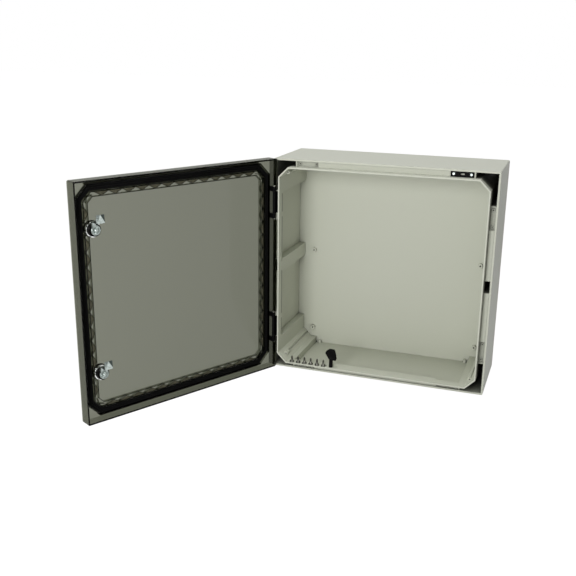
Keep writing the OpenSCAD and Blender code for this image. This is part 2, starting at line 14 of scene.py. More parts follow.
import bmesh
import bpy
import numpy as np
from mathutils import Matrix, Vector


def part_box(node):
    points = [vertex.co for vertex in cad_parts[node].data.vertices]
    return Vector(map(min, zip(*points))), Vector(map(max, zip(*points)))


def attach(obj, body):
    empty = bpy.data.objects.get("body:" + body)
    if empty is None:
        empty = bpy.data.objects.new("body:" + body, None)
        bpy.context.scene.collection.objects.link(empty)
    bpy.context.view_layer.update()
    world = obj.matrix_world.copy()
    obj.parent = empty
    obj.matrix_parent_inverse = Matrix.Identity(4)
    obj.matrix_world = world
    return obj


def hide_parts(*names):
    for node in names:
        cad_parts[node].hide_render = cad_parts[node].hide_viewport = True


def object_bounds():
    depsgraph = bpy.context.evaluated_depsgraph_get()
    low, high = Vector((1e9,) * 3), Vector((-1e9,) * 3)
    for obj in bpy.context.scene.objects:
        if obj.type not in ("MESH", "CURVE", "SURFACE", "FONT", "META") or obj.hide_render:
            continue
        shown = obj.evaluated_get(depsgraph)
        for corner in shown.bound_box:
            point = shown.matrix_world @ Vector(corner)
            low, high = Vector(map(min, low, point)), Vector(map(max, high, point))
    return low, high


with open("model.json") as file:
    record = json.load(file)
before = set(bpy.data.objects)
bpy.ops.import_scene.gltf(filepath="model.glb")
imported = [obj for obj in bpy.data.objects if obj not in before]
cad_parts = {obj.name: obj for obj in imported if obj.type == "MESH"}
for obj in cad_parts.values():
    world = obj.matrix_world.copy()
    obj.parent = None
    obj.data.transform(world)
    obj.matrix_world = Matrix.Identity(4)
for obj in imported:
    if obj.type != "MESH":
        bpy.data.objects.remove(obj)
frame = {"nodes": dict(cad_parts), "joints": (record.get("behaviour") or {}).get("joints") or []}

LOG = logging.getLogger("cabinet")
MM = 0.001
SEAM = 0.002 * MM
SLIVER = 0.0001 * MM
SHARP = math.radians(32.0)
Colour = tuple[float, float, float]
Point = tuple[float, float, float]
Pair = tuple[float, float]
Array = np.ndarray


def corners(box: Sequence[Sequence[float]]) -> list[list[float]]:
    """Gives a box's two corners as plain lists of numbers."""
    return [[float(value) for value in corner] for corner in box]


CAD_BOX = corners(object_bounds())


def door_hinge() -> tuple[Sequence[float], float]:
    """Place of the door's hinge, and the angle of its whole travel."""
    hinge = next(joint for joint in frame["joints"] if joint["name"] == "door_hinge")
    return hinge["pos_m"], math.radians(hinge["range_deg"][1])


# --- Shader maths ---


class Wire:
    """An output socket that can be used in arithmetic."""

    def __init__(self, shader: "Shader", socket: bpy.types.NodeSocket) -> None:
        """Wraps an output socket of one of the shader's nodes."""
        self.shader = shader
        self.socket = socket

    def _math(self, operation: str, first: Any, second: Any) -> "Wire":
        """Adds one Math node and gives its output."""
        return self.shader.make("Math", {"operation": operation}, {0: first, 1: second})

    def __add__(self, other: Any) -> "Wire":
        """Sum of two values."""
        return self._math("ADD", self, other)

    __radd__ = __add__

    def __sub__(self, other: Any) -> "Wire":
        """Difference of two values."""
        return self._math("SUBTRACT", self, other)

    def __rsub__(self, other: Any) -> "Wire":
        """Difference with the plain number first."""
        return self._math("SUBTRACT", other, self)

    def __mul__(self, other: Any) -> "Wire":
        """Product of two values."""
        return self._math("MULTIPLY", self, other)

    __rmul__ = __mul__

    def at_most(self, other: Any) -> "Wire":
        """Smaller of two values."""
        return self._math("MINIMUM", self, other)

    def at_least(self, other: Any) -> "Wire":
        """Larger of two values."""
        return self._math("MAXIMUM", self, other)

    def size(self) -> "Wire":
        """Value without its sign."""
        return self._math("ABSOLUTE", self, 0.0)

    def within(self, half: float, middle: float = 0.0) -> "Wire":
        """Mask that is 1 where the value is nearer than a distance to a middle."""
        return self._math("LESS_THAN", (self - middle).size(), half)


class Shader:
    """A material's or the world's node tree, built up one node at a time."""

    def __init__(self, tree: bpy.types.NodeTree) -> None:
        """Empties the node tree that is to be filled."""
        self.tree = tree
        tree.nodes.clear()

    def make(self, kind: str, settings: dict[str, Any] | None = None,
             inputs: dict[Any, Any] | None = None, output: Any = 0) -> Wire:
        """Adds a node, which is the one way that nodes are made here.

        Args:
            kind: The node's type name after "ShaderNode".
            settings: Properties of the node, set first.
            inputs: Numbers, colours or wires by input name or number.
            output: Name or number of the output to give back.

        Returns:
            The chosen output, or the node's first input wrapped where it has none.
        """
        node = self.tree.nodes.new(f"ShaderNode{kind}")
        for name, value in (settings or {}).items():
            setattr(node, name, value)
        for name, value in (inputs or {}).items():
            if isinstance(value, Wire):
                self.tree.links.new(value.socket, node.inputs[name])
            else:
                node.inputs[name].default_value = value
        return Wire(self, node.outputs[output] if node.outputs else node.inputs[0])

    def object_point(self) -> Wire:
        """Place of a surface point in the piece's own coordinates."""
        return self.make("TexCoord", output="Object")

    def noise(self, size: float, detail: float = 2.0, rough: float = 0.5,
              stretch: Point = (1.0, 1.0, 1.0)) -> Wire:
        """Cloudy variation between 0 and 1.

        Args:
            size: Size of the largest features, in metres.
            detail: Number of finer layers.
            rough: Strength of each finer layer.
            stretch: Squeeze of the pattern along each axis.

        Returns:
            The noise value.
        """
        point = self.make("Mapping", {}, {"Vector": self.object_point(), "Scale": stretch})
        return self.make("TexNoise", {}, {"Vector": point, "Scale": 1.0 / size,
                                          "Detail": detail, "Roughness": rough}, "Fac")

    def axes(self) -> list[Wire]:
        """The x, y and z of a surface point in the piece's own coordinates."""
        point = self.object_point()
        return [self.make("SeparateXYZ", {}, {"Vector": point}, axis)
                for axis in ("X", "Y", "Z")]

    def sheltered(self, reach: float) -> Wire:
        """How much of the sky the piece hides from itself, within a reach in metres."""
        return 1.0 - self.make("AmbientOcclusion", {"samples": 6, "only_local": True},
                               {"Distance": reach}, "AO")

    def tint(self, colour: Colour | Wire, other: Colour, mask: Wire) -> Wire:
        """Colour that goes from one to another as a mask rises from 0 to 1."""
        first = colour if isinstance(colour, Wire) else (*colour, 1.0)
        return self.make("Mix", {"data_type": "RGBA"},
                         {"Factor": mask, 6: first, 7: (*other, 1.0)}, 2)

    def rounded_edges(self, radius: float) -> Wire:
        """Normal that rounds hard edges over a radius in metres."""
        return self.make("Bevel", {"samples": 4}, {"Radius": radius})

    def bump(self, height: Wire, depth: float, normal: Wire | None = None) -> Wire:
        """Normal of a surface raised by a height.

        Args:
            height: Value between 0 and 1.
            depth: Rise at a value of 1, in metres.
            normal: Normal to start from.

        Returns:
            The bumped normal.
        """
        inputs = {"Height": height, "Distance": depth, "Strength": 1.0}
        if normal is not None:
            inputs["Normal"] = normal
        return self.make("Bump", {}, inputs)

    def surface(self, shader: Wire, volume: Wire | None = None) -> None:
        """Sends a shader, and what fills the piece, to the material's output."""
        inputs = {"Surface": shader}
        if volume is not None:
            inputs["Volume"] = volume
        self.make("OutputMaterial", {}, inputs)


def new_material(name: str) -> tuple[bpy.types.Material, Shader]:
    """Makes an empty node material, and the shader that fills it."""
    material = bpy.data.materials.new(name)
    material.use_nodes = True
    return material, Shader(material.node_tree)


# --- Finishes ---


@dataclass(frozen=True)
class MouldedPlastic:
    """Opaque plastic from a mould: a fine grain, cloudy gloss and softly rounded edges."""

    name: str
    colour: Colour
    flow_colour: Colour
    roughness: float = 0.42
    grain: float = 0.7 * MM
    grain_depth: float = 0.02 * MM
    edge: float = 0.5 * MM
    specular: float = 0.5
    flow_size: float = 160 * MM

    def by_place(self, shader: Shader, colour: Wire) -> Wire:
        """Colour changed by place, which a plain moulding leaves as it is."""
        return colour

    def build(self) -> bpy.types.Material:
        """Builds the material."""
        material, shader = new_material(self.name)
        flow = shader.noise(self.flow_size, 3.0, 0.55, (1.0, 1.0, 0.6))
        grain = shader.noise(self.grain, 2.0, 0.6)
        scuffs = shader.noise(0.012, 4.0, 0.65)
        rough = self.roughness + 0.10 * (flow - 0.5) + 0.08 * (scuffs - 0.5)
        normal = shader.bump(grain, self.grain_depth, shader.rounded_edges(self.edge))
        colour = self.by_place(shader, shader.tint(self.colour, self.flow_colour, flow))
        shader.surface(shader.make("BsdfPrincipled", {}, {
            "Base Color": colour, "Specular IOR Level": self.specular,
            "Roughness": rough, "Normal": normal}))
        return material


@dataclass(frozen=True)
class Shade:
    """A painted shade: a darker colour that comes in where the sky is hidden."""

    colour: Colour
    gain: float
    start: float
    most: float

    def lay(self, shader: Shader, colour: Wire, hidden: Wire, least: Wire | None = None) -> Wire:
        """Lays the shade over a colour, by gain * (hidden - start), from 0 up to its most."""
        share = (self.gain * (hidden - self.start)).at_least(0.0).at_most(self.most)
        return shader.tint(colour, self.colour, share if least is None else share.at_least(least))


@dataclass(frozen=True)
class BoxPlastic(MouldedPlastic):
    """The box's plastic, with painted shade inside and in its grooves and wells, and a painted
    shadow line.
    """

    close_reach: float = 4 * MM
    far_reach: float = 90 * MM
    # Painted shade inside the box, in its grooves and in its wells.
    inside: Shade = Shade((0.33, 0.34, 0.27), 0.25, 0.0, 0.5)
    groove: Shade = Shade((0.10, 0.10, 0.07), 1.9, 0.36, 0.8)
    well: Shade = Shade((0.010, 0.010, 0.006), 2.2, 0.60, 0.97)
    # Painted shadow line along the collar's back edge.
    shadow_line_share: float = 0.65
    shadow_line_depth: Pair = (2.2 * MM, -178.8 * MM)
    shadow_line_half_width: float = 235 * MM
    shadow_line_lengths: tuple[Pair, Pair] = ((21 * MM, 149 * MM), (53 * MM, 64 * MM))

    def by_place(self, shader: Shader, colour: Wire) -> Wire:
        """Colour with painted shade inside the box, in the grooves and in the wells.

        The shadow line is a painted shadow: a band 4.4 mm wide at the collar's back edge, in
        four lengths a side, which takes the grooves' colour.
        """
        # Painted shade, from how much sky the piece hides near each point.
        close, far = shader.sheltered(self.close_reach), shader.sheltered(self.far_reach)
        across, depth, level = shader.axes()
        # Painted shadow line at the collar's back edge.
        first, second = (level.size().within(*length) for length in self.shadow_line_lengths)
        line = (self.shadow_line_share * depth.within(*self.shadow_line_depth)
                * across.within(self.shadow_line_half_width) * (first + second))
        colour = self.inside.lay(shader, colour, far)
        colour = self.groove.lay(shader, colour, close, line)
        return self.well.lay(shader, colour, far)


@dataclass(frozen=True)
class SmokedPlastic:
    """Clear plastic that darkens with its depth, polished, with a trace of flow and haze, and
    painted shade on its skirt's foot and rim.
    """

    name: str
    colour: Colour = (0.97, 0.97, 0.96)
    haze_colour: Colour = (0.93, 0.93, 0.92)
    passed: Colour = (0.150, 0.170, 0.060)
    density: float = 475.0
    roughness: float = 0.03
    bend: float = 1.2
    specular: float = 0.3
    # Painted shade: the skirt's foot and rim go near black.
    margin_shade_colour: Colour = (0.05, 0.05, 0.035)
    foot_band: Pair = (3.7 * MM, 242.6 * MM)
    foot_depth: Pair = (13 * MM, -206.5 * MM)
    foot_cut: float = 457 * MM
    rim_band: Pair = (1.9 * MM, 247.6 * MM)
    rim_depth: Pair = (2 * MM, -182.5 * MM)
    frost_colour: Colour = (0.19, 0.198, 0.148)
    frost_share: Pair = (0.5, 0.7)
    skin: float = 0.4 * MM
    half_width: float = 250 * MM

    def skirt(self, shader: Shader) -> tuple[Wire, Wire]:
        """Masks of the painted shade on the skirt's foot and rim, and of its frosted sides.

        The door's own x is cos a (x - p) - sin a (y - q) + p, and its own y is
        sin a (x - p) + cos a (y - q) + q, with a the hinge's travel and (p, q) its place.
        The foot and the rim are where the larger of |x| and |z| is in their bands and y is
        in their depths, and the foot leaves out the corners, where |x| + |z| is over its
        cut. The frosted faces are the outer ones, but for the lower.

        Returns:
            The mask of the painted shade on the foot and the rim, and the mask of the frosted
            faces.
        """
        place, angle = door_hinge()
        across, depth, level = shader.axes()
        across, depth = across - place[0], depth - place[1]
        own = (math.cos(angle) * across - math.sin(angle) * depth + place[0]).size()
        rise = math.sin(angle) * across + math.cos(angle) * depth + place[1]
        outer = own.at_least(level.size())
        foot = (outer.within(*self.foot_band) * rise.within(*self.foot_depth)
                * (own + level.size()).within(self.foot_cut))
        rim = outer.within(*self.rim_band) * rise.within(*self.rim_depth)
        frosted = (outer.within(self.skin, self.half_width)
                   - level.within(self.skin, -self.half_width)).at_least(0.0)
        return foot.at_least(rim), frosted

    def build(self) -> bpy.types.Material:
        """Builds the material."""
        material, shader = new_material(self.name)
        flow = shader.noise(0.22, 2.0, 0.5, (1.0, 1.0, 0.4))
        haze = shader.noise(0.004, 3.0, 0.6)
        smoke = shader.make("VolumeAbsorption", {}, {
            "Color": (*self.passed, 1.0), "Density": self.density})
        foot, wall = self.skirt(shader)
        colour = shader.tint(self.colour, self.haze_colour, flow)
        clear = shader.make("BsdfPrincipled", {}, {
            # Painted shade on the skirt's foot and rim.
            "Base Color": shader.tint(colour, self.margin_shade_colour, foot),
            "Roughness": self.roughness + 0.02 * haze,
            "Normal": shader.bump(flow, 0.3 * MM),
            "IOR": self.bend, "Specular IOR Level": self.specular, "Transmission Weight": 1.0})
        frost = shader.make("BsdfDiffuse", {}, {"Color": (*self.frost_colour, 1.0)})
        least, most = self.frost_share
        shader.surface(shader.make("MixShader", {}, {
            0: (least + (most - least) * haze) * wall, 1: clear, 2: frost}), smoke)
        return material


@dataclass(frozen=True)
class FoamRubber:
    """Black seal material with an open, pitted skin."""

    name: str
    colour: Colour = (0.004, 0.004, 0.004)
    pore: float = 1.1 * MM
    pore_depth: float = 0.10 * MM

    def build(self) -> bpy.types.Material:
        """Builds the material."""
        material, shader = new_material(self.name)
        pores = shader.noise(self.pore, 3.0, 0.6)
        dust = shader.noise(0.03, 4.0, 0.6)
        wear_and_shade = tuple(2.2 * value for value in self.colour)
        shader.surface(shader.make("BsdfPrincipled", {}, {
            "Base Color": shader.tint(self.colour, wear_and_shade, dust),
            "Specular IOR Level": 0.02, "Roughness": 0.75 + 0.2 * pores,
            "Normal": shader.bump(pores, self.pore_depth)}))
        return material


@dataclass(frozen=True)
class CastMetal:
    """Bare or plated metal with fine tumbling marks, duller where its piece marks it: its own tone
    on most parts, painted shade on the cams' tabs and the screws' threads.
    """

    name: str
    colour: Colour = (0.56, 0.63, 0.60)
    dull_colour: Colour = (0.07, 0.085, 0.08)
    roughness: float = 0.34
    marks: float = 0.9 * MM
    mark_gain: float = 0.8
    cloud: float = 2.6 * MM
    cloud_gain: float = 1.9
    cloud_start: float = 0.42
    edge: float = 0.25 * MM

    def build(self) -> bpy.types.Material:
        """Builds the material."""
        material, shader = new_material(self.name)
        marks = shader.noise(self.marks, 3.0, 0.65)
        cloud = shader.noise(self.cloud, 3.0, 0.6)
        # The dull attribute: the part's own tone, and painted shade on the cams' tabs and the
        # screws' threads.
        wear_and_shade = shader.make("Attribute", {"attribute_name": "dull"}, output="Fac")
        normal = shader.bump(marks, 0.015 * MM, shader.rounded_edges(self.edge))
        speckle = self.cloud_gain * (cloud - self.cloud_start) + self.mark_gain * (marks - 0.5)
        dull = (speckle.at_least(0.0).at_most(1.0) + wear_and_shade).at_most(1.0)
        shader.surface(shader.make("BsdfPrincipled", {}, {
            "Base Color": shader.tint(self.colour, self.dull_colour, dull),
            "Roughness": self.roughness + 0.16 * (cloud - 0.5) + 0.1 * (marks - 0.5),
            "Metallic": 1.0, "Normal": normal}))
        return material


class Finish(Enum):
    """The finishes that the cabinet's pieces take."""

    SHELL = BoxPlastic("grey_polycarbonate", (0.595, 0.612, 0.520), (0.610, 0.626, 0.535),
                       roughness=0.46, specular=0.22)
    NYLON = MouldedPlastic("black_nylon", (0.003, 0.003, 0.003), (0.006, 0.006, 0.006),
                           grain=0.5 * MM, grain_depth=0.03 * MM, edge=0.35 * MM, specular=0.03)
    # Near-black sheets in the truss's gaps: painted shade.
    SHADE_SHEET = MouldedPlastic("truss_shade_sheet", (0.008, 0.007, 0.003), (0.15, 0.145, 0.10),
                         roughness=0.35, grain=1.5 * MM, grain_depth=0.2 * MM, edge=0.3 * MM,
                         specular=0.05, flow_size=3.5 * MM)
    SMOKED = SmokedPlastic("smoked_polycarbonate")
    FOAM = FoamRubber("gasket_foam")
    SEAL = FoamRubber("seal_rubber", (0.008, 0.008, 0.008), pore=0.6 * MM, pore_depth=0.03 * MM)
    CASTING = CastMetal("zinc_casting")
    PLATED = CastMetal("plated_steel", (0.62, 0.62, 0.55), (0.20, 0.20, 0.17),
                       roughness=0.28, marks=0.6 * MM)
    CHROMED = CastMetal("bright_zinc", (0.86, 0.88, 0.87), (0.60, 0.63, 0.63),
                        roughness=0.14, marks=0.6 * MM)
    DARK_STEEL = CastMetal("dark_steel", (0.14, 0.14, 0.12), (0.02, 0.02, 0.016), roughness=0.40)


class Palette:
    """Builds each finish once and puts it on pieces."""

    def __init__(self) -> None:
        """Builds every finish."""
        self.materials = {finish: finish.value.build() for finish in Finish}

    def dress(self, piece: bpy.types.Object, finish: Finish) -> None:
        """Puts a finish on a piece."""
        material = self.materials[finish]
        if not piece.material_slots:
            piece.data.materials.append(material)
        for slot in piece.material_slots:
            slot.material = material

    def dress_nodes(self, finish: Finish, *names: str) -> None:
        """Puts a finish on nodes of the frame, given by their names."""
        for name in names:
            self.dress(frame["nodes"][name], finish)
            LOG.info("%s wears %s", name, finish.name.lower())


# --- Surfaces on grids ---


def join(*parts: Any) -> Array:
    """Joins numbers and arrays, one a coordinate, into points on a grid."""
    return np.stack(np.broadcast_arrays(*parts), axis=-1)


def grid_quads(rows: int, columns: int, loop_rows: bool) -> Array:
    """Numbers the corners of every quad on a grid of points whose rows are loops.

    Quad (i, j) joins points (i, j), (i, j + 1), (i + 1, j + 1) and (i + 1, j), and goes on
    from a row's last point to its first.

    Args:
        rows: Number of rows of points.
        columns: Number of points in a row.
        loop_rows: Whether the last row joins the first.

    Returns:
        An array of four point numbers for each quad.
    """
    row = np.arange(rows if loop_rows else rows - 1)[:, None]
    column = np.arange(columns)[None, :]
    below, beside = (row + 1) % rows, (column + 1) % columns
    return join(row * columns + column, row * columns + beside,
                below * columns + beside, below * columns + column).reshape(-1, 4)


def refine(line: Array, steps: int) -> Array:
    """Divides each stretch of a line into equal steps and keeps its own points.

    Args:
        line: Points of the line, one a row.
        steps: Steps in each stretch.

    Returns:
        The finer line, point + share * (next point - point), with its last point.
    """
    share = (np.arange(steps) / steps)[None, :, None]
    finer = line[:-1, None, :] * (1 - share) + line[1:, None, :] * share
    return np.concatenate([finer.reshape(-1, line.shape[1]), line[-1:]])


def closed_outline(points: Sequence[Pair] | Array, steps: int) -> Array:
    """Divides each side of an outline, given by its corners, into equal steps."""
    return refine(np.concatenate([points, points[:1]]), steps)[:-1]


def full_turn(steps: int, start: float = 0.0) -> Array:
    """Angles of one whole turn, without the last, which is the first again."""
    return np.linspace(start, start + 2 * math.pi, steps, endpoint=False)


def turned(profile: Array, angles: Array) -> Array:
    """Carries a profile round an upright axis.

    Point (t, a) is (r cos a, r sin a, h), for the profile's radius r and height h at t.

    Args:
        profile: Radius and height of each point, as rows or as a grid with the angles.
        angles: The angles to carry it through.

    Returns:
        A grid of points, one row for each point of the profile.
    """
    if profile.ndim == 2:
        profile = profile[:, None]
    radius, height = profile[..., 0], profile[..., 1]
    return join(radius * np.cos(angles), radius * np.sin(angles), height)


def plate(outline: Array, thickness: float, edge: float) -> Array:
    """Plate with softened rims over an outline.

    Each row is the outline shrunk towards its middle by a share and set at a depth. With e
    the edge over the outline's half width, the shares run 0, 1 - e, 1 - 0.3 e and 1 from
    the under side's middle to the rim, and back on the upper side.

    Args:
        outline: Points round the plate, not closed.
        thickness: Thickness of the plate.
        edge: Width of the softened rim.

    Returns:
        A grid of points: across, along and depth from 0 up to the thickness.
    """
    middle = (outline.min(axis=0) + outline.max(axis=0)) / 2
    loss = edge / (np.abs(outline - middle).max() + 1e-9)
    share = np.array([0.0, 1 - loss, 1 - 0.3 * loss, 1, 1, 1 - 0.3 * loss, 1 - loss, 0.0])
    depth = np.array([0, 0, 0.3 * edge, edge, thickness - edge, thickness - 0.3 * edge,
                      thickness, thickness])
    flat = middle + (outline - middle)[None] * share[:, None, None]
    return join(flat[..., 0], flat[..., 1], depth[:, None])


class Form:
    """A piece put together from closed surfaces on grids of points."""

    def __init__(self, name: str) -> None:
        """Starts an empty piece with its name."""
        self.name = name
        self.points: list[Array] = []
        self.quads: list[Array] = []
        self.shades: list[Array] = []
        self.count = 0

    def add(self, grid: Array, loop_rows: bool = False,
            shade: Array | float = 0.0) -> None:
        """Adds a surface whose rows are loops.

        Args:
            grid: Points as rows, columns and x, y, z.
            loop_rows: Whether its last row joins its first, as on a ring.
            shade: How dull the finish is at each point, from 0 to 1; on the cams' tabs and the
                screws' threads it is painted shade.
        """
        rows, columns = grid.shape[:2]
        self.quads.append(grid_quads(rows, columns, loop_rows) + self.count)
        self.points.append(grid.reshape(-1, 3))
        self.shades.append(np.broadcast_to(shade, (rows, columns)).reshape(-1))
        self.count += rows * columns

    def finish(self, palette: Palette, finish: Finish, body: str, slot: str,
               *nodes: str) -> None:
        """Makes the object, closes its seams and dresses it.

        Args:
            palette: The finishes.
            finish: The finish that the piece takes.
            body: The body that it rides on.
            slot: The record's material slot that the finish belongs to; it is not used.
            nodes: The nodes of the frame that it stands for.
        """
        mesh = bpy.data.meshes.new(self.name)
        mesh.from_pydata(np.concatenate(self.points).tolist(), [],
                         np.concatenate(self.quads).tolist())
        shades = mesh.attributes.new("dull", "FLOAT", "POINT")
        shades.data.foreach_set("value", np.concatenate(self.shades).astype(np.float32))
        shape = bmesh.new()
        shape.from_mesh(mesh)
        bmesh.ops.remove_doubles(shape, verts=shape.verts, dist=SEAM)
        bmesh.ops.dissolve_degenerate(shape, edges=shape.edges, dist=SLIVER)
        bmesh.ops.recalc_face_normals(shape, faces=shape.faces)
        shape.to_mesh(mesh)
        shape.free()
        mesh.shade_smooth()
        mesh.set_sharp_from_angle(angle=SHARP)
        piece = bpy.data.objects.new(self.name, mesh)
        bpy.context.collection.objects.link(piece)
        palette.dress(piece, finish)
        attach(piece, body)
        if nodes:
            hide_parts(*nodes)
        LOG.info("%s has %d faces and rides on %s", self.name, len(mesh.polygons), body)


def at_rest(points: Array) -> Array:
    """Turns points of the closed door about the hinge to where the door stands at rest.

    A point at (x, y) from the hinge goes to (x cos a - y sin a, x sin a + y cos a), where a
    is the hinge's whole travel, taken backwards.

    Args:
        points: Points for the closed door, x, y and z last.

    Returns:
        The points at rest.
    """
    place, travel = door_hinge()
    pivot, cos, sin = np.array(place), math.cos(-travel), math.sin(-travel)
    turn = np.array([[cos, -sin, 0.0], [sin, cos, 0.0], [0.0, 0.0, 1.0]])
    return (points - pivot) @ turn.T + pivot


# --- Sub-assemblies ---


@dataclass
class CabinetBase:
    """The grey moulded box with what is screwed into its front channel."""

    corner_middle: float = 220.13 * MM
    ridge_gap: float = 4.0 * MM
    ridge_radius: float = 1.3 * MM
    ridge_ends: Pair = (-174 * MM, -7 * MM)
    ridge_steps: int = 25

    def ridge(self, offset: float) -> Array:
        """Half-round ridge along a corner face, at an offset from its middle.

        Point (t, a) of the bar is r cos a along the face and r sin a off it, at the share t
        of its length. Its ends close to a point.
        """
        share = np.concatenate([[0.0], np.linspace(0, 1, self.ridge_steps), [1.0]])[:, None]
        radius = np.full_like(share, self.ridge_radius)
        radius[[0, -1]] = 0.0
        angles = full_turn(24)
        along, off = offset + radius * np.cos(angles), radius * np.sin(angles)
        start, end = self.ridge_ends
        across, level = (self.corner_middle + (side * along + off) / math.sqrt(2)
                         for side in (1, -1))
        return join(across, start + share * (end - start), level)

    def build(self, palette: Palette) -> None:
        """Dresses the box and its plate, and adds the ridges beside the corner grooves."""
        palette.dress_nodes(Finish.SHELL, "base_shell")
        palette.dress_nodes(Finish.NYLON, "keeper_plate")
        palette.dress_nodes(Finish.CASTING, "keeper_screws")
        ridges = Form("corner_ridges")
        for offset in (-self.ridge_gap, self.ridge_gap):
            for side in (-1, 1):
                for end in (-1, 1):
                    ridges.add(self.ridge(offset) * np.array([side, 1, end]))
        ridges.finish(palette, Finish.SHELL, "base", "grey_polycarbonate")


@dataclass
class ClearDoor:
    """The smoked door with its foam gasket and, in its truss, near-black panels of painted shade.
    """

    half_width: float = 250 * MM
    rim_inset: float = 16.5 * MM
    rim_leg: float = 22.5 * MM
    gasket_inset: float = 11.1 * MM
    gasket_width: float = 13.3 * MM
    gasket_height: float = 6.2 * MM
    groove_places: Pair = (0.34, 0.66)
    inside_face: float = -206.5 * MM
    web_inset: float = 34.5 * MM
    web_width: float = 8 * MM
    web_pitch: float = 30.5 * MM
    web_top: float = -199.7 * MM
    web_fill: float = 0.92
    webs_each_way: int = 6
    lock_level: float = 150 * MM
    lock_room: float = 26 * MM

    def octagon(self, inset: Array) -> Array:
        """Corners of the eight-sided outline at distances from the outer face.

        With w the half width less the inset, and c the leg of the cut corner, which grows
        by 2 - sqrt(2) for each unit that the outline grows, the corners are (w - c, w),
        (w, w - c) and their mirror images.

        Returns:
            Eight rows of (x, z) points, one for each distance.
        """
        wide = self.half_width - inset
        near = wide - (self.rim_leg + (self.rim_inset - inset) * (2 - math.sqrt(2)))
        across = np.stack([near, wide, wide, near, -near, -wide, -wide, -near])
        along = np.stack([wide, near, -near, -wide, -wide, -near, near, wide])
        return join(across, along)

    def gasket_profile(self) -> tuple[Array, Array]:
        """Cross-section of the foam.

        Over the share s of the width, the height is sqrt(1 - |2 s - 1|^10), less two soft
        grooves, 0.28 exp(-((s - g) / 0.05)^2) at g of 0.34 and 0.66.

        Returns:
            The share of the width and the share of the height at each point.
        """
        share = (1 - np.cos(np.linspace(0, math.pi, 61))) / 2
        crown = np.sqrt(np.clip(1 - np.abs(2 * share - 1) ** 10, 0, 1))
        grooves = sum(0.28 * np.exp(-((share - place) / 0.05) ** 2)
                      for place in self.groove_places)
        return share, crown * (1 - grooves)

    def web_panels(self) -> Iterable[Array]:
        """Three-cornered near-black panels of painted shade that fill every other gap of the
        truss.

        A panel's base lies on the outer rib between two points of the zigzag, and its tip
        on the inner rib half-way between them. It is drawn 8 % short of them. Panels that
        would meet a lock are left out.

        Yields:
            A grid of points for the closed door.
        """
        tip, half = self.half_width - self.web_inset, self.web_pitch / 2
        base = tip + self.web_width
        for number in range(-self.webs_each_way, self.webs_each_way + 1):
            middle = number * self.web_pitch
            outline = closed_outline([(middle - half, base), (middle + half, base),
                                      (middle, tip)], 6)
            centre = np.array([middle, (2 * base + tip) / 3])
            panel = plate(centre + self.web_fill * (outline - centre), 0.9 * MM, 0.2 * MM)
            along, off, depth = panel[..., 0], panel[..., 1], self.web_top - panel[..., 2]
            near_lock = abs(abs(middle) - self.lock_level) < self.lock_room
            for side in (-1, 1):
                yield join(along, depth, side * off)
                if side < 0 or not near_lock:
                    yield join(side * off, depth, along)

    def build(self, palette: Palette) -> None:
        """Dresses the door, carries the foam round its outline and fills its truss."""
        palette.dress_nodes(Finish.SMOKED, "door_panel")
        share, height = self.gasket_profile()
        outline = self.octagon(self.gasket_inset + share * self.gasket_width)
        depth = self.inside_face + self.gasket_height * height
        foam = Form("foam_gasket")
        foam.add(at_rest(join(outline[..., 0], depth, outline[..., 1])), True)
        foam.finish(palette, Finish.FOAM, "door", "gasket_foam", "door_gasket")
        # Near-black panels of painted shade in the truss.
        panels = Form("truss_shade_sheets")
        for grid in self.web_panels():
            panels.add(at_rest(grid))
        panels.finish(palette, Finish.SHADE_SHEET, "door", "smoked_polycarbonate")


@dataclass
class HingeSet:
    """The two black hinges with their pins and screws."""

    places: tuple[str, str] = ("upper", "lower")

    def build(self, palette: Palette) -> None:
        """Dresses both hinges."""
        for place in self.places:
            for side in ("base", "door"):
                palette.dress_nodes(Finish.NYLON, f"{place}_hinge_{side}_leaf")
            palette.dress_nodes(Finish.PLATED, f"{place}_hinge_pin")
        palette.dress_nodes(Finish.NYLON, "hinge_leaf_screws", "door_leaf_screws")


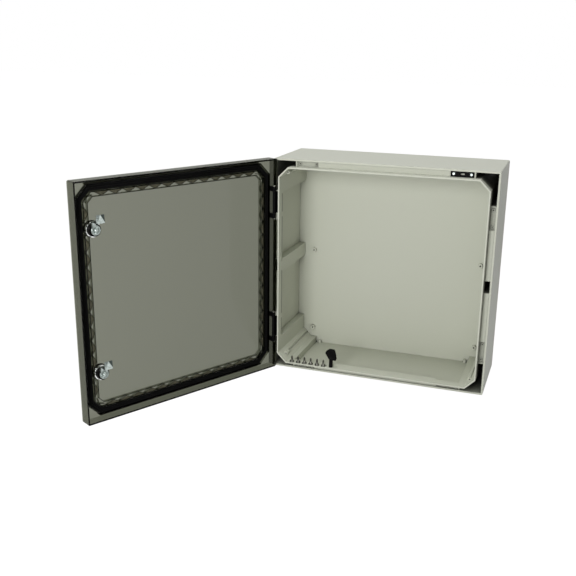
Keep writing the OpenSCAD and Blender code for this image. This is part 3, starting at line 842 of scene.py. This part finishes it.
@dataclass
class LockSet:
    """The two quarter-turn locks with their cranked cams."""

    centre: float = 204 * MM
    levels: tuple[tuple[str, float], ...] = (("upper", 150 * MM), ("lower", -150 * MM))
    inside_face: float = -206.5 * MM
    barrel_radius: float = 13 * MM
    nut_radius: float = 16 * MM
    nut_height: float = 4.5 * MM
    notches: int = 6
    notch_depth: float = 1.5 * MM
    hub_face: float = -193.5 * MM
    hub_radius: float = 10 * MM
    teeth: int = 18
    washer_height: float = 0.8 * MM
    head_radius: float = 4.4 * MM
    head_height: float = 2.9 * MM
    slot_half: float = 0.6 * MM
    slot_depth: float = 1.4 * MM
    tab_face: float = -172.7 * MM
    tab_least: float = 0.8 * MM
    cam_step: float = 17 * MM
    cam_reach: float = 34 * MM
    cam_width: float = 18 * MM
    arm_width: float = 9 * MM
    cam_thick: float = 2.5 * MM
    rib_thick: float = 1.5 * MM

    def placed(self, grid: Array, level: float) -> Array:
        """Moves points of a lock, given from its axis, to the door at rest."""
        return at_rest(grid + np.array([self.centre, 0.0, level]))

    @staticmethod
    def facing_in(grid: Array, foot: float) -> Array:
        """Lays a surface that stands on a foot so that its height runs into the box."""
        return join(grid[..., 0], foot + grid[..., 2], grid[..., 1])

    def ring_nut(self) -> Array:
        """Ring nut with softened rims and spanner notches.

        A closed profile between the barrel's and the nut's radius is carried round the
        axis. Its outer points are drawn in where cos(n a) is near 1, for n notches.

        Returns:
            A grid of points round the lock's axis, which is closed both ways.
        """
        inner, outer, high = self.barrel_radius + 0.1 * MM, self.nut_radius, self.nut_height
        soft = 0.7 * MM
        section = np.array([(inner, 0), (outer - soft, 0), (outer, soft), (outer, high - soft),
                            (outer - 0.3 * soft, high - 0.3 * soft), (outer - soft, high),
                            (inner + soft, high), (inner, high - soft)])
        angles = full_turn(192)
        notch = 1 / (1 + np.exp(-60 * (np.cos(self.notches * angles) - 0.8)))
        radius, height = section[:, :1], section[:, 1:]
        drawn = radius - self.notch_depth * (radius > (inner + outer) / 2) * notch
        return self.facing_in(turned(join(drawn, height), angles), self.inside_face)

    def cam_hub(self) -> Array:
        """Round hub: a profile with a shallow ring on its face, carried round the axis."""
        edge, thick, radius = 0.4 * MM, self.cam_thick, self.hub_radius
        profile = np.array([(0, 0), (radius - edge, 0), (radius, edge), (radius, thick - edge),
                            (radius - edge, thick), (8.6 * MM, thick), (8.3 * MM, thick - edge),
                            (6.5 * MM, thick - edge), (6.2 * MM, thick), (0, thick)])
        return self.facing_in(turned(profile, full_turn(72)), self.hub_face)

    def washer(self) -> Array:
        """Washer whose n teeth stand out and are set to the side, by (1 + cos n a) / 2."""
        angles = full_turn(12 * self.teeth)
        tooth = (1 + np.cos(self.teeth * angles)) / 2
        radius = np.array([0, 4.9, 5.6, 6.3, 6.3, 5.6, 4.9, 0]) * MM
        height = np.array([0, 0, 0, 0.1, 0.8, 1.0, 0.8, 0.8]) * MM
        radius = radius[:, None] + np.outer(radius > 6 * MM, 1.1 * MM * tooth)
        height = height[:, None] + np.outer(height > 0.3 * MM, 0.5 * MM * tooth)
        ring = turned(join(radius, height), angles)
        return self.facing_in(ring, self.hub_face + self.cam_thick)

    def slotted_head(self) -> Array:
        """Pan head with a slot.

        Its height is the whole height times sqrt(1 - (r / R)^4), less the slot's depth
        where the distance from the slot's middle line is under half its width.
        """
        share = np.concatenate([[0.0], np.linspace(1, 0, 40)])
        angles = full_turn(72, 0.3)
        radius = self.head_radius * share
        height = self.head_height * np.sqrt(1 - share ** 4)
        height[0] = 0.0
        slot = np.abs(radius[:, None] * np.sin(angles - 0.9)) < self.slot_half
        cut = self.slot_depth * slot * (share > 0)[:, None]
        height = np.clip(height[:, None] - cut, 0, None)
        head = turned(join(radius[:, None], height), angles)
        return self.facing_in(head, self.hub_face + self.cam_thick + self.washer_height)

    def cam_arm(self) -> Array:
        """Cranked strip from the hub up, back and up again to the tab.

        The middle line goes from the hub to the step, turns back through a quarter circle,
        runs to the tab's depth and turns up through another. A flat section with softened
        corners is set square to it.

        Returns:
            A grid of points whose first and last rows close it.
        """
        half, bend = self.cam_thick / 2, 2.2 * MM
        near, far = self.hub_face + half, self.tab_face + half
        rise = self.cam_step + half
        turn = np.linspace(0, math.pi / 2, 9)
        first = join(near + bend - bend * np.cos(turn), rise - bend + bend * np.sin(turn))
        second = join(far - bend + bend * np.sin(turn), rise + bend - bend * np.cos(turn))
        line = np.concatenate([[(near, 0.0)], first, second, [(far, rise + bend + 2 * MM)]])
        ahead = np.gradient(line, axis=0)
        ahead /= np.linalg.norm(ahead, axis=1, keepdims=True)
        square = join(-ahead[:, 1], ahead[:, 0])
        soft = 0.3 * MM
        right, left = self.cam_width / 2, self.cam_width / 2 - self.arm_width
        section = np.array([(left, -half + soft), (left + soft, -half), (right - soft, -half),
                            (right, -half + soft), (right, half - soft), (right - soft, half),
                            (left + soft, half), (left, half - soft)])
        path = line[:, None, :] + square[:, None, :] * section[None, :, 1:]
        strip = join(section[:, 0], path[..., 0], path[..., 1])
        ends = strip[[0, -1]].mean(axis=1, keepdims=True).repeat(8, axis=1)
        return np.concatenate([ends[:1], strip, ends[1:]])

    def cam_tab(self) -> tuple[Array, Array]:
        """Square tab whose back falls away from a raised triangle.

        Rings of a square shrink from its rim to its middle, under and over the tab. Over
        it, the height is the thickness less 0.38 times the distance outside the triangle,
        and never under the tab's least. Outside the triangle it takes painted shade, which
        reaches its full over half a millimetre there, and the right half takes 0.55 of it.

        Returns:
            A grid of points in the lock's axes, and how much painted shade each takes.
        """
        half, low, high = self.cam_width / 2, self.cam_step, self.cam_reach
        square = closed_outline([(-half, low), (half, low), (half, high), (-half, high)], 20)
        middle = np.array([0.0, (low + high) / 2])
        share = np.concatenate([[0, 0.98, 1], np.linspace(1, 0, 26)])
        flat = middle + (square - middle)[None] * share[:, None, None]
        triangle = np.array([(7.4, 16.6), (-9.2, 17.6), (0.8, 34.4)]) * MM
        along = np.roll(triangle, -1, axis=0) - triangle
        along /= np.linalg.norm(along, axis=1, keepdims=True)
        away = join(-along[:, 1], along[:, 0])
        outside = ((flat[..., None, :] - triangle) * away).sum(axis=-1).max(axis=-1)
        thick = self.cam_thick - 0.38 * np.clip(outside, 0, None)
        depth = np.clip(thick, self.tab_least, None)
        depth[:2] = 0.0
        depth[2] = 0.15 * MM
        depth[3] -= 0.2 * MM
        # Painted shade outside the raised triangle, stronger on the left half.
        dull = np.clip(outside / (0.5 * MM), 0, 1) * (0.55 + 0.45 * (flat[..., 0] < 0))
        return join(flat[..., 0], self.tab_face + depth, flat[..., 1]), dull

    def rib(self, points: Sequence[Pair], side: float, edge: float) -> Array:
        """Rib at a place across the cam, over an outline given by its corners."""
        rib = plate(closed_outline(points, 4), self.rib_thick, edge)
        return join(side + rib[..., 2], rib[..., 0], rib[..., 1])

    def gusset(self, side: float) -> Array:
        """Three-cornered rib between the cam's web and its tab, at a place across it."""
        foot, top = self.tab_face + 0.1 * MM, self.cam_step + self.cam_thick - 0.1 * MM
        return self.rib([(foot, top), (foot, top + 6 * MM), (foot - 12 * MM, top)], side,
                        0.25 * MM)

    def side_rib(self) -> Array:
        """Rib along the edge that leads when the cam locks."""
        low, high = 4 * MM, self.cam_step + 1 * MM
        near, far = self.hub_face, self.hub_face + 6 * MM
        return self.rib([(near, low), (far, low + 2 * MM), (far, high), (near, high)],
                        self.cam_width / 2 - self.rib_thick, 0.3 * MM)

    def build(self, palette: Palette) -> None:
        """Builds and dresses both locks."""
        for name, level in self.levels:
            nut = Form(f"{name}_ring_nut")
            nut.add(self.placed(self.ring_nut(), level), True)
            nut.finish(palette, Finish.CHROMED, "door", "zinc_casting", f"{name}_lock_nut")
            cam = Form(f"{name}_cranked_cam")
            tab, dull = self.cam_tab()
            cam.add(self.placed(tab, level), shade=dull)
            for grid in (self.cam_hub(), self.cam_arm(), self.side_rib(),
                         self.gusset(self.cam_width / 2 - self.arm_width),
                         self.gusset(self.cam_width / 2 - self.rib_thick)):
                cam.add(self.placed(grid, level), shade=0.15)
            cam.finish(palette, Finish.CASTING, f"{name}_lock", "zinc_casting", f"{name}_lock_cam")
            palette.dress_nodes(Finish.NYLON, f"{name}_lock_housing")
            palette.dress_nodes(Finish.SEAL, f"{name}_lock_seal")
            palette.dress_nodes(Finish.CHROMED, f"{name}_lock_rotor")
            screw = Form(f"{name}_slotted_screw")
            screw.add(self.placed(self.washer(), level), shade=0.5)
            screw.add(self.placed(self.slotted_head(), level), shade=0.1)
            screw.finish(palette, Finish.CASTING, f"{name}_lock", "plated_steel",
                         f"{name}_cam_screw")


@dataclass
class LooseHardware:
    """The screws and the key that stand on the lower rim."""

    screws: int = 6
    first: float = -197 * MM
    pitch: float = 15.6 * MM
    screw_depth: float = -194 * MM
    ledge: float = -230.5 * MM
    head_radius: float = 5.5 * MM
    shank_radius: float = 2.4 * MM
    screw_length: float = 16.5 * MM
    thread_pitch: float = 1.9 * MM
    thread_depth: float = 0.55 * MM
    thread_foot: float = 7.4 * MM
    key_depth: float = -192.5 * MM
    key_length: float = 45 * MM
    key_width: float = 28 * MM
    grip_thick: float = 6.5 * MM
    dish_depth: float = 0.9 * MM

    def screw(self, start: float) -> tuple[Array, Array]:
        """Screw standing on its head.

        Its profile is carried round the axis. Above the domed head the radius loses a
        depth times |2 f - 1|, where f is the fraction of (height / pitch + angle / 2 pi),
        so that the thread's crest winds up the shank.

        Args:
            start: Angle in turns at which the thread starts.

        Returns:
            A grid of points round the screw's own axis, and how dull each is, which is painted
            shade in the thread's valleys.
        """
        head, shank, length = self.head_radius, self.shank_radius, self.screw_length
        foot = self.thread_foot
        profile = refine(np.array([
            (0, 0), (head - 0.3 * MM, 0), (head, 0.3 * MM), (head, 2.0 * MM),
            (head - 0.8 * MM, 3.4 * MM), (head - 1.9 * MM, 4.6 * MM), (shank + 0.5 * MM, 6.0 * MM),
            (shank, foot), (shank, length - 3 * MM), (0.4 * MM, length), (0, length)]), 18)
        angles = full_turn(36)
        radius, height = profile[:, :1], profile[:, 1:]
        winding = (height / self.thread_pitch + angles / (2 * math.pi) + start) % 1.0
        threaded = (height > foot + 0.3 * MM) & (radius > 0.5 * MM)
        cut = self.thread_depth * np.abs(2 * winding - 1) * threaded
        # Painted shade in the thread's valleys, deepest where the cut is.
        return turned(join(radius - cut, height), angles), cut / self.thread_depth

    def grip(self) -> Array:
        """Uneven ten-sided grip of the key, dished on both faces.

        Rings of the outline shrink from the rim to the middle, with the share cos p to the
        power 0.25 and the depth sin p to the power 0.5. The depth loses the dish's where
        the share is under 0.62.

        Returns:
            A grid of points: across, depth and height from the grip's foot.
        """
        outline = np.array([(-0.50, 0.60), (-0.38, 0.40), (-0.20, 0.10), (0.04, 0.01),
                            (0.40, 0.0), (0.50, 0.20), (0.40, 0.66), (0.30, 0.97),
                            (-0.14, 1.0), (-0.40, 0.80)])
        outline = closed_outline(outline * self.key_width, 8)
        middle = np.array([0.0, self.key_width / 2])
        swing = np.linspace(-math.pi / 2, math.pi / 2, 41)
        share = np.abs(np.cos(swing)) ** 0.25
        share[[0, -1]] = 0.0
        side = np.sign(np.sin(swing)) * np.abs(np.sin(swing)) ** 0.5
        dish = self.dish_depth / (1 + np.exp(60 * (share - 0.62)))
        depth = side * (self.grip_thick / 2 - dish)
        flat = middle + (outline - middle)[None] * share[:, None, None]
        return join(flat[..., 0], depth[:, None], flat[..., 1])

    def stem(self) -> Array:
        """Key's stem: a profile with the socket's bore, carried round the axis."""
        top = 1000 * (self.key_length - self.key_width)
        profile = np.array([(0, 10), (2.2, 10), (2.2, 0.4), (2.6, 0), (4.4, 0), (4.8, 0.4),
                            (4.8, 5), (4.4, 5.6), (4.4, top - 1), (4.8, top + 1),
                            (4.0, top + 4), (0, top + 4)]) * MM
        return turned(profile, full_turn(48))

    def build(self, palette: Palette) -> None:
        """Builds and dresses the loose pieces."""
        screws = Form("standing_screws")
        for number in range(self.screws):
            place = np.array([self.first + number * self.pitch, self.screw_depth, self.ledge])
            screw, dull = self.screw(0.37 * number)
            screws.add(screw + place, shade=dull)
        screws.finish(palette, Finish.DARK_STEEL, "base", "plated_steel", "plate_screws")
        low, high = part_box("door_key")
        foot = np.array([(low[0] + high[0]) / 2, self.key_depth, self.ledge])
        key = Form("lock_key")
        key.add(self.grip() + foot + np.array([0, 0, self.key_length - self.key_width]))
        key.add(self.stem() + foot)
        key.finish(palette, Finish.NYLON, "base", "black_nylon", "door_key")


# --- Studio ---


@dataclass
class Studio:
    """Camera, lamps, world and floor."""

    camera_at: Point = (0.4041, -1.9307, 0.5177)
    yaw: float = -19.45
    pitch: float = 17.08
    roll: float = 0.64
    lens: float = 51.77
    sensor: float = 36.0
    far_limit: float = 100.0
    floor_size: float = 24.0
    floor_gap: float = 0.4 * MM
    floor_white: float = 0.90
    floor_glow: float = 1.11
    ambient: float = 0.17
    lamps: tuple[tuple[str, Point, float, float], ...] = (
        ("key_lamp", (-0.15, -2.05, 0.5), 0.8, 22.5),
        ("top_lamp", (-0.2, -0.5, 2.8), 1.4, 34.0))

    def look(self) -> Array:
        """Camera's right, up and backward directions, as columns."""
        yaw, pitch, roll = (math.radians(a) for a in (self.yaw, self.pitch, self.roll))
        ahead = np.array([math.sin(yaw) * math.cos(pitch), math.cos(yaw) * math.cos(pitch),
                          -math.sin(pitch)])
        level = np.array([math.cos(yaw), -math.sin(yaw), 0.0])
        upright = np.cross(level, ahead)
        right = level * math.cos(roll) + upright * math.sin(roll)
        up = upright * math.cos(roll) - level * math.sin(roll)
        return np.column_stack([right, up, -ahead])

    @staticmethod
    def put(name: str, data: bpy.types.ID, axes: Array, place: Point) -> bpy.types.Object:
        """Makes the object of a camera or a lamp, from its place and its axes as columns."""
        matrix = np.eye(4)
        matrix[:3, :3], matrix[:3, 3] = axes, place
        thing = bpy.data.objects.new(name, data)
        thing.matrix_world = Matrix(matrix.tolist())
        bpy.context.collection.objects.link(thing)
        return thing

    def place_camera(self) -> None:
        """Makes the camera and gives it to the scene."""
        data = bpy.data.cameras.new("camera")
        data.lens = self.lens
        data.sensor_width = self.sensor
        data.clip_end = self.far_limit
        bpy.context.scene.camera = self.put("camera", data, self.look(), self.camera_at)

    def place_lamps(self) -> None:
        """Makes the area lamps, each aimed at the cabinet."""
        for name, place, size, power in self.lamps:
            data = bpy.data.lights.new(name, "AREA")
            data.shape = "DISK"
            data.size = size
            data.energy = power
            back = np.array(place) / np.linalg.norm(place)
            side = np.cross((0.0, 0.0, 1.0), back)
            side /= np.linalg.norm(side)
            self.put(name, data, np.column_stack([side, np.cross(back, side), back]), place)

    @staticmethod
    def seen(shader: Shader) -> Wire:
        """Mask that is 1 for rays that show the backdrop itself."""
        rays = [shader.make("LightPath", output=name)
                for name in ("Is Camera Ray", "Is Glossy Ray", "Is Transmission Ray")]
        return (rays[0] + rays[1] + rays[2]).at_most(1.0)

    def fill_world(self) -> None:
        """Makes the world white to look at and a softer grey as a light."""
        world = bpy.data.worlds.new("studio")
        bpy.context.scene.world = world
        world.use_nodes = True
        shader = Shader(world.node_tree)
        strength = self.ambient + (1.0 - self.ambient) * self.seen(shader)
        background = shader.make("Background", {}, {
            "Color": (1.0, 1.0, 1.0, 1.0), "Strength": strength})
        shader.make("OutputWorld", {}, {"Surface": background})

    def lay_floor(self) -> None:
        """Lays a pale floor just under the cabinet, white to look at but for its shadow."""
        material, shader = new_material("studio_floor")
        grain = shader.noise(0.5, 2.0)
        matt = shader.make("BsdfDiffuse", {}, {
            "Color": shader.tint((0.62, 0.62, 0.62), (0.64, 0.64, 0.64), grain)})
        white = shader.make("Emission", {}, {"Strength": self.floor_glow})
        shader.surface(shader.make("MixShader", {}, {
            0: self.floor_white * self.seen(shader), 1: matt, 2: white}))
        half = self.floor_size / 2
        level = CAD_BOX[0][2] - self.floor_gap
        mesh = bpy.data.meshes.new("studio_floor")
        mesh.from_pydata([(-half, -half, level), (half, -half, level), (half, half, level),
                          (-half, half, level)], [], [(0, 1, 2, 3)])
        floor = bpy.data.objects.new("studio_floor", mesh)
        floor.data.materials.append(material)
        bpy.context.collection.objects.link(floor)

    def build(self) -> None:
        """Builds the whole studio."""
        bpy.context.scene.view_settings.view_transform = "Standard"
        self.place_camera()
        self.place_lamps()
        self.fill_world()
        self.lay_floor()


def main() -> None:
    """Builds the studio and every sub-assembly in turn."""
    logging.basicConfig(level=logging.INFO, format="%(name)s: %(message)s")
    Studio().build()
    palette = Palette()
    for assembly in (CabinetBase(), ClearDoor(), HingeSet(), LockSet(), LooseHardware()):
        assembly.build(palette)
        LOG.info("%s is done", type(assembly).__name__)


if __name__ == "__main__":
    main()
